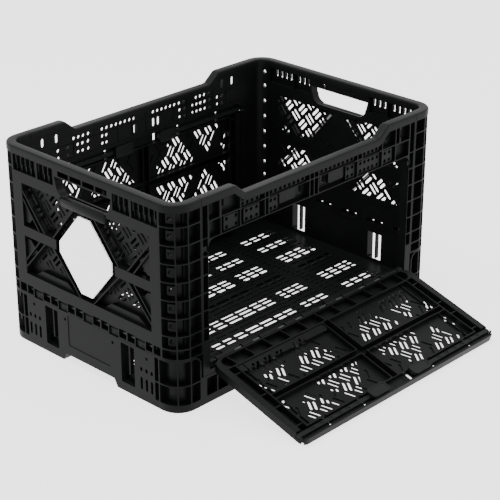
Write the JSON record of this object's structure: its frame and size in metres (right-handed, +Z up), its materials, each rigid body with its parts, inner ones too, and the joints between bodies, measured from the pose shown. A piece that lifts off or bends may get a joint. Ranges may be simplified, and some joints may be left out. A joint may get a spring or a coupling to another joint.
{
  "type": "collapsible storage crate",
  "caption": "Open-top folding storage crate with slotted walls, hand holes in both ends and a drop-down door in each long side.",
  "frame": {"origin": "under the middle of the base, on the face that stands on the ground", "axes": "+X along the long side, +Y towards the back wall, +Z up; the front door lies open towards -Y"},
  "size_m": [0.6, 0.5936, 0.34],
  "materials": {
    "crate_plastic": "charcoal moulded polypropylene, fine satin grain",
    "latch_plastic": "charcoal moulded plastic, slightly smoother than the walls",
    "badge_plastic": "white satin plastic, blank",
    "rod_steel": "drawn steel rod"
  },
  "bodies": {
    "base": {"base_tray": "crate_plastic", "end_wall_left": "crate_plastic", "end_wall_right": "crate_plastic", "badge_left": "badge_plastic", "badge_right": "badge_plastic", "handle_grip_left": "crate_plastic", "handle_grip_right": "crate_plastic", "end_hinge_rod_left": "rod_steel", "end_hinge_rod_right": "rod_steel", "wall_hinge_rod_front": "rod_steel", "wall_hinge_rod_back": "rod_steel"},
    "front_wall": {"long_wall_front": "crate_plastic", "door_hinge_rod_front": "rod_steel"},
    "back_wall": {"long_wall_back": "crate_plastic", "door_hinge_rod_back": "rod_steel"},
    "front_door": {"door_front": "crate_plastic"},
    "back_door": {"door_back": "crate_plastic"},
    "front_latch_left": {"latch_front_left": "latch_plastic"},
    "front_latch_right": {"latch_front_right": "latch_plastic"},
    "back_latch_left": {"latch_back_left": "latch_plastic"},
    "back_latch_right": {"latch_back_right": "latch_plastic"}
  },
  "joints": [
    {"name": "front_wall_fold", "type": "hinge", "parent": "base", "child": "front_wall", "pos_m": [0, -0.172, 0.038], "axis": [-1, 0, 0], "range_deg": [0, 90]},
    {"name": "back_wall_fold", "type": "hinge", "parent": "base", "child": "back_wall", "pos_m": [0, 0.172, 0.054], "axis": [1, 0, 0], "range_deg": [0, 90]},
    {"name": "front_door_fold", "type": "hinge", "parent": "front_wall", "child": "front_door", "pos_m": [0, -0.194, 0.064], "axis": [-1, 0, 0], "range_deg": [0, 106.5]},
    {"name": "back_door_fold", "type": "hinge", "parent": "back_wall", "child": "back_door", "pos_m": [0, 0.194, 0.064], "axis": [-1, 0, 0], "range_deg": [0, 106.5]},
    {"name": "front_latch_left_slide", "type": "slide", "parent": "front_door", "child": "front_latch_left", "axis": [-1, 0, 0], "range_m": [0, 0.008]},
    {"name": "front_latch_right_slide", "type": "slide", "parent": "front_door", "child": "front_latch_right", "axis": [1, 0, 0], "range_m": [0, 0.008]},
    {"name": "back_latch_left_slide", "type": "slide", "parent": "back_door", "child": "back_latch_left", "axis": [-1, 0, 0], "range_m": [0, 0.008]},
    {"name": "back_latch_right_slide", "type": "slide", "parent": "back_door", "child": "back_latch_right", "axis": [1, 0, 0], "range_m": [0, 0.008]}
  ]
}
